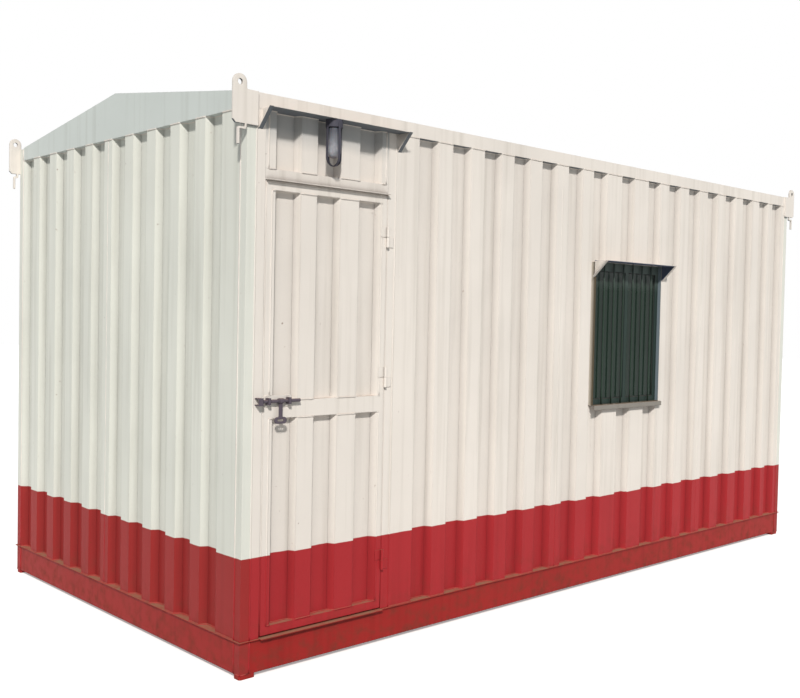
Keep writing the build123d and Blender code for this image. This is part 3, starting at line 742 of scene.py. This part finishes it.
# The plate is 3 mm thick, and all that stands before its face is black
latch_plate_face = post_low.y - 0.0032
latch_enamel = painted_steel(
    "cream_and_worn_black_paint_on_plate", wall_cream, iron_black, latch_plate_face, axis="Y", wear=0.6,
    shade_and_grime=0.35,
)
dress(dark_iron, "door_bolt", "bolt_hasp", "bolt_keeper")
dress(latch_enamel, "bolt_guides")
tack_length = 0.03
latch_beads = []
for level in (plate_low.z, plate_high.z):
    for start in (plate_left + bead_short, plate_right - (bead_short + tack_length)):
        latch_beads.append(level_bead("front", start, start + tack_length, level, -bead_lift, step=0.006))
closed_piece("latch_welds", latch_beads, door_enamel, "door")

# Door canopy
# A folded plate on two end gussets, welded to the top rail and the wall. It is painted cream, with a painted
# shade in dark slate underneath.
dress(cream_enamel, "door_canopy")
canopy_low, canopy_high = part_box("door_canopy")
gusset_inset = 0.022
gusset_toe = 0.01
canopy_left = canopy_low.x - post_low.x + gusset_inset
canopy_right = canopy_high.x - post_low.x - gusset_inset
gusset_ends = (canopy_low.z + gusset_toe, canopy_high.z - bead_short)
canopy_beads = [level_bead("front", canopy_left, canopy_right, canopy_high.z, -bead_lift)]
for joint in (canopy_left, canopy_right):
    canopy_beads.append(upright_bead("front", joint, *gusset_ends, inward=-bead_lift))
closed_piece("canopy_welds", canopy_beads, cream_enamel, "cabin")

# Lamp
# A jar lamp: a cast cap screwed up under the canopy, two crossed straps of flat bar for a guard, and a
# ribbed jar of moulded opal glass, dull with dust and smoke.
lamp_iron = painted_steel("stoved_black_enamel_on_cast_cap", "#4b4a55", roughness=0.5)
dress(lamp_iron, "lamp_holder")
# The glass gives the eye a dull, milky shine, with a painted shade that darkens it under the cap and fades
# towards its foot, in smoky clouds 30 mm across
opal, opal_tree, opal_shader = new_material("moulded_opal_glass")
opal_place = add_node(opal_tree, "ShaderNodeTexCoord").outputs["Object"]
opal_smoke = add_node(opal_tree, "ShaderNodeTexNoise", {"Vector": opal_place, "Scale": 35.0, "Detail": 3.0})
jar_low, jar_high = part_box("lamp_glass")
cap_shade_full = jar_high.z - 0.02
cap_shade_foot = jar_low.z + 0.03
cap_shade_height = add_node(opal_tree, "ShaderNodeSeparateXYZ", {"Vector": opal_place}).outputs["Z"]
cap_shade_rise = add_node(
    opal_tree, "ShaderNodeMapRange", {"Value": cap_shade_height, "From Min": cap_shade_full, "From Max": cap_shade_foot}
)
cap_shade_and_smoke = add_node(
    opal_tree, "ShaderNodeMath", {0: cap_shade_rise.outputs["Result"], 1: opal_smoke.outputs["Fac"]},
    operation="MULTIPLY",
)
opal_colour = add_node(
    opal_tree, "ShaderNodeMix",
    {0: cap_shade_and_smoke.outputs[0], 6: linear("#4d4f59"), 7: linear("#b9bac2")}, data_type="RGBA",
)
opal_tree.links.new(opal_colour.outputs[2], opal_shader.inputs["Base Color"])
opal_shader.inputs["Roughness"].default_value = 0.3
opal_shader.inputs["Subsurface Weight"].default_value = 0.15
jar_radius = (jar_high.x - jar_low.x) / 2
jar_height = jar_high.z - jar_low.z
jar_middle = (jar_low + jar_high) / 2


def ribbed_jar(rows=36, columns=96, ribs=24, rib=0.0006, straight=0.78):
    """A jar: straight down for a share of its height, then an ellipse in to its foot, with upright ribs as a
    cosine of the turn that fade out over a tenth of it at the top and the foot."""
    rounding = np.sin(np.linspace(0.08, 1.56, rows // 2))
    drop = np.concatenate([np.linspace(0, straight, rows // 2), straight + (1 - straight) * rounding])
    curve = np.sqrt(np.clip(1 - (np.clip(drop - straight, 0, None) / (1 - straight)) ** 2, 1e-5, 1))
    turn = np.arange(columns) * 2 * np.pi / columns
    fade = np.clip(np.minimum(drop / 0.08, (1 - drop) / 0.1), 0, 1)[:, None]
    radius = (jar_radius - rib) * curve[:, None] + rib * fade * np.cos(ribs * turn)
    levels = np.broadcast_to((jar_high.z - jar_height * drop)[:, None], radius.shape)
    return np.stack([jar_middle.x + radius * np.cos(turn), jar_middle.y + radius * np.sin(turn), levels], -1)


jar = closed_piece("lamp_jar", [ribbed_jar()], opal, "cabin")
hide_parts("lamp_glass")

# Window
# A folded steel reveal holds two fixed lights that meet in the middle, in dark enamelled aluminium, glazed in
# one plane with tinted glass. The wall's cream laps onto the reveal's outer sides and wears off to brown at
# its front edge, and its inner sides are a pale blue-grey.
sash_enamel = painted_steel(
    "dark_enamel_on_aluminium_extrusion", "#2a3834", roughness=0.45, wear=0.5, shade_and_grime=0.1
)
sash_tree = sash_enamel.node_tree
sash_where = add_node(sash_tree, "ShaderNodeTexCoord")
sash_place = sash_where.outputs["Object"]
# Painted light: towards the head, in the hood's shadow, the colours are lifted to a paler grey-green
paler_foot = window_high.z - 0.17
paler_full = window_high.z - 0.05


def paler_near_head(tree, place):
    """Lay a paler grey-green over a colour near the window's head: painted light in the hood's shadow."""
    level = add_node(tree, "ShaderNodeSeparateXYZ", {"Vector": place}).outputs["Z"]
    paler_share = add_node(
        tree, "ShaderNodeMapRange",
        {"Value": level, "From Min": paler_foot, "From Max": paler_full, "To Max": 0.3},
    )
    lay_over(tree, paler_share.outputs["Result"], linear("#8b9793"))


# Painted light near the head of the frame
paler_near_head(sash_tree, sash_place)
# How far out a point lies, as a share of the window's half width or half height: one is the reveal's
# outer side, and its inner side is a little less
outer_share = 0.996
inner_share = 0.985
window_middle = (window_low + window_high) / 2
from_middle = add_node(
    sash_tree, "ShaderNodeVectorMath", {0: sash_place, 1: tuple(window_middle)}, operation="SUBTRACT"
)
as_share = add_node(
    sash_tree, "ShaderNodeVectorMath",
    {0: from_middle.outputs[0], 1: tuple(2 / size for size in window_high - window_low)},
    operation="MULTIPLY",
)
share = add_node(
    sash_tree, "ShaderNodeSeparateXYZ",
    {"Vector": add_node(
        sash_tree, "ShaderNodeVectorMath", {0: as_share.outputs[0]}, operation="ABSOLUTE").outputs[0]},
)
furthest = add_node(
    sash_tree, "ShaderNodeMath", {0: share.outputs["X"], 1: share.outputs["Z"]}, operation="MAXIMUM"
)
outer_side = add_node(
    sash_tree, "ShaderNodeMath", {0: furthest.outputs[0], 1: outer_share}, operation="GREATER_THAN"
)
sash_facing = add_node(
    sash_tree, "ShaderNodeVectorMath", {0: sash_where.outputs["Normal"]}, operation="ABSOLUTE"
)
sash_sideways = add_node(sash_tree, "ShaderNodeSeparateXYZ", {"Vector": sash_facing.outputs[0]}).outputs["X"]
sideways = add_node(sash_tree, "ShaderNodeMath", {0: sash_sideways, 1: 0.5}, operation="GREATER_THAN")
near_side = add_node(
    sash_tree, "ShaderNodeMath", {0: share.outputs["X"], 1: inner_share}, operation="GREATER_THAN"
)
inner_side = add_node(
    sash_tree, "ShaderNodeMath", {0: sideways.outputs[0], 1: near_side.outputs[0]}, operation="MULTIPLY"
)
lay_over(sash_tree, inner_side.outputs[0], linear("#77838c"))
# The wall's cream is whole 34 mm behind the wall's face and worn to brown at the front edge
lap_front = post_low.y + 0.004
lap_back = post_low.y + 0.034
depth_in = add_node(sash_tree, "ShaderNodeSeparateXYZ", {"Vector": sash_place}).outputs["Y"]
lapped = add_node(
    sash_tree, "ShaderNodeMapRange", {"Value": depth_in, "From Min": lap_front, "From Max": lap_back}
)
side_coat = add_node(
    sash_tree, "ShaderNodeMix", {0: lapped.outputs["Result"], 6: linear("#5f5546"), 7: linear("#e0d9ce")},
    data_type="RGBA",
)
lay_over(sash_tree, outer_side.outputs[0], side_coat.outputs[2])
dress(sash_enamel, "window_frame")
# The glass gives the eye an almost black green with a soft shine, and runs of dirt 70 mm wide
glass, glass_tree, glass_shader = new_material("tinted_float_glass")
glass_place = add_node(glass_tree, "ShaderNodeTexCoord").outputs["Object"]
film = add_node(glass_tree, "ShaderNodeMapping", {"Vector": glass_place, "Scale": (14.0, 14.0, 0.6)})
film_runs = add_node(
    glass_tree, "ShaderNodeTexNoise", {"Vector": film.outputs[0], "Scale": 1.0, "Detail": 3.0}
)
film_colour = add_node(
    glass_tree, "ShaderNodeMix",
    {0: film_runs.outputs["Fac"], 6: linear("#1d3224"), 7: linear("#2d3c37")}, data_type="RGBA",
)
glass_tree.links.new(film_colour.outputs[2], glass_shader.inputs["Base Color"])
# Painted light near the head, as on the frame
paler_near_head(glass_tree, glass_place)
glass_shader.inputs["Roughness"].default_value = 0.12
glass_shader.inputs["Transmission Weight"].default_value = 0.3
glass_shader.inputs["Specular IOR Level"].default_value = 0.06
dress(glass, "window_glass")

# Window bars
# Six round steel bars, 10 mm thick, stand upright before the glass. They are welded into the reveal at both
# ends and enamelled dark green.
bar_radius = 0.005
bar_depth = 0.008
bar_gaps = 7
reveal = 0.003
bar_places = window_left + (window_right - window_left) * np.arange(1, bar_gaps) / bar_gaps
bar_levels = np.linspace(window_low.z + reveal, window_high.z - reveal, 10)
bars = [
    carried(circle(bar_radius, 10), on_wall("front", place, bar_depth, bar_levels), outward)
    for place in bar_places
]
bar_enamel = painted_steel(
    "dark_green_enamel_on_round_bar", "#2a3b31", roughness=0.45, wear=0.6, shade_and_grime=0.1
)
bar_tree = bar_enamel.node_tree
# Painted light near the head, as on the frame
paler_near_head(bar_tree, add_node(bar_tree, "ShaderNodeTexCoord").outputs["Object"])
closed_piece("window_bars", bars, bar_enamel, "cabin")

# Glazing gasket
# A strip of black rubber pressed in round each light, on the outside of the glass. It gives the eye a dull
# black line, with a faint grey bloom in patches 17 mm across.
rubber, rubber_tree, rubber_shader = new_material("extruded_black_rubber")
bloom = add_node(
    rubber_tree, "ShaderNodeTexNoise",
    {"Vector": add_node(rubber_tree, "ShaderNodeTexCoord").outputs["Object"], "Scale": 60.0, "Detail": 2.0},
)
rubber_colour = add_node(
    rubber_tree, "ShaderNodeMix", {0: bloom.outputs["Fac"], 6: linear("#17191a"), 7: linear("#2c2e2e")},
    data_type="RGBA",
)
rubber_tree.links.new(rubber_colour.outputs[2], rubber_shader.inputs["Base Color"])
rubber_shader.inputs["Roughness"].default_value = 0.75
sash_face = 0.032
sash_head = 0.05
light_levels = (window_low.z + reveal + sash_face, window_high.z - reveal - sash_head)
window_centre = (window_left + window_right) / 2
gasket_width = 0.005
gasket_inset = gasket_width / 2
gasket_depth = 0.0255
gasket_section = rounded(gasket_width, gasket_width, 0.0015)
gaskets = []
for left, right in (
    (window_left + reveal + sash_face, window_centre - sash_face / 2),
    (window_centre + sash_face / 2, window_right - reveal - sash_face),
):
    for side in (left + gasket_inset, right - gasket_inset):
        upright_path = on_wall("front", side, gasket_depth, np.linspace(*light_levels, 6))
        gaskets.append(carried(gasket_section, upright_path, outward))
    for level in (light_levels[0] + gasket_inset, light_levels[1] - gasket_inset):
        along = np.linspace(left + gasket_width, right - gasket_width, 6)
        gaskets.append(carried(gasket_section, on_wall("front", along, gasket_depth, level)))
closed_piece("glazing_gasket", gaskets, rubber, "cabin")

# Window hood and sill
# Folded sheet welded to the wall over the window, on two gussets, and an angle under it. Both are painted
# cream. The hood carries a painted shade in dark slate inside and along its edge, and the sill is dull with
# dirt.
hood_low, hood_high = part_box("window_hood")
hood_middle = (hood_low.x + hood_high.x) / 2
# The painted shade covers the faces between the gussets, the gussets' inner faces with them, and not the top
face_margin = 0.0005
gusset_reach = (hood_high.x - hood_low.x) / 2 - gusset_inset + face_margin
hood_enamel = painted_steel("shaded_cream_enamel_on_hood", wall_cream)
hood_tree = hood_enamel.node_tree
hood_where = add_node(hood_tree, "ShaderNodeTexCoord")
hood_x = add_node(hood_tree, "ShaderNodeSeparateXYZ", {"Vector": hood_where.outputs["Object"]}).outputs["X"]
hood_up = add_node(hood_tree, "ShaderNodeSeparateXYZ", {"Vector": hood_where.outputs["Normal"]}).outputs["Z"]
hood_apart = add_node(hood_tree, "ShaderNodeMath", {0: hood_x, 1: hood_middle}, operation="SUBTRACT")
hood_reach = add_node(hood_tree, "ShaderNodeMath", {0: hood_apart.outputs[0]}, operation="ABSOLUTE")
within = add_node(
    hood_tree, "ShaderNodeMath", {0: hood_reach.outputs[0], 1: gusset_reach}, operation="LESS_THAN"
)
not_on_top = add_node(hood_tree, "ShaderNodeMath", {0: hood_up, 1: 0.5}, operation="LESS_THAN")
hood_shade_face = add_node(
    hood_tree, "ShaderNodeMath", {0: within.outputs[0], 1: not_on_top.outputs[0]}, operation="MULTIPLY"
)
lay_over(hood_tree, hood_shade_face.outputs[0], linear("#565e72"))
dress(hood_enamel, "window_hood")
sill_enamel = painted_steel("dirty_cream_enamel_on_sill", "#8c8781")
dress(sill_enamel, "window_sill")
hood_left = hood_low.x - post_low.x + gusset_inset
hood_right = hood_high.x - post_low.x - gusset_inset
hood_bead = level_bead("front", hood_left, hood_right, hood_high.z, -bead_lift)
closed_piece("hood_welds", [hood_bead], hood_enamel, "cabin")

# Linings and ceiling
# Melamine-faced particle board, 9 mm, in pale cream, with cover strips of the same over the joints every
# 1.2 m. It gives the eye a plain board with faint clouds 0.3 m across, and pores that are drawn 2 mm wide,
# coarser than real ones, so that they show.
melamine, board_tree, board_shader = new_material("melamine_faced_board")
board_place = add_node(board_tree, "ShaderNodeTexCoord").outputs["Object"]
board_grain = add_node(board_tree, "ShaderNodeTexNoise", {"Vector": board_place, "Scale": 3.0, "Detail": 6.0})
board_colour = add_node(
    board_tree, "ShaderNodeMix",
    {0: board_grain.outputs["Fac"], 6: linear("#cdc2a9"), 7: linear("#dfd6c2")}, data_type="RGBA",
)
board_tree.links.new(board_colour.outputs[2], board_shader.inputs["Base Color"])
board_pores = add_node(
    board_tree, "ShaderNodeTexNoise", {"Vector": board_place, "Scale": 500.0, "Detail": 1.0}
)
board_bump = add_node(
    board_tree, "ShaderNodeBump", {"Height": board_pores.outputs["Fac"], "Strength": 0.15, "Distance": 0.0004}
)
board_tree.links.new(board_bump.outputs["Normal"], board_shader.inputs["Normal"])
board_shader.inputs["Roughness"].default_value = 0.45
dress(melamine, "lining_back", "lining_ends", "lining_front", "ceiling")
lining_depth = post_high.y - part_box("lining_back")[0].y
ceiling_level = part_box("ceiling")[0].z
board_width = 1.22
board_joints = post + board_width * np.arange(1, 4)
cover_width = 0.03
cover_thickness = 0.004
cover_section = rounded(cover_width, cover_thickness, 0.0015)
cover_depth = lining_depth + cover_thickness / 2
cover_levels = np.linspace(rail_top, ceiling_level, 8)
cover_strips = []
for wall, places in (("back", board_joints), ("left", (width / 2,)), ("right", (width / 2,))):
    facing = on_wall(wall, 0.0, 1.0, 0.0) - on_wall(wall, 0.0, 0.0, 0.0)
    for place in places:
        path = on_wall(wall, place, cover_depth, cover_levels)
        cover_strips.append(carried(cover_section, path, facing))
for place in board_joints:
    across = np.linspace(lining_depth, width - lining_depth, 8)
    path = on_wall("front", place, across, ceiling_level - cover_thickness / 2)
    cover_strips.append(carried(cover_section, path))
closed_piece("lining_cover_strips", cover_strips, melamine, "cabin")
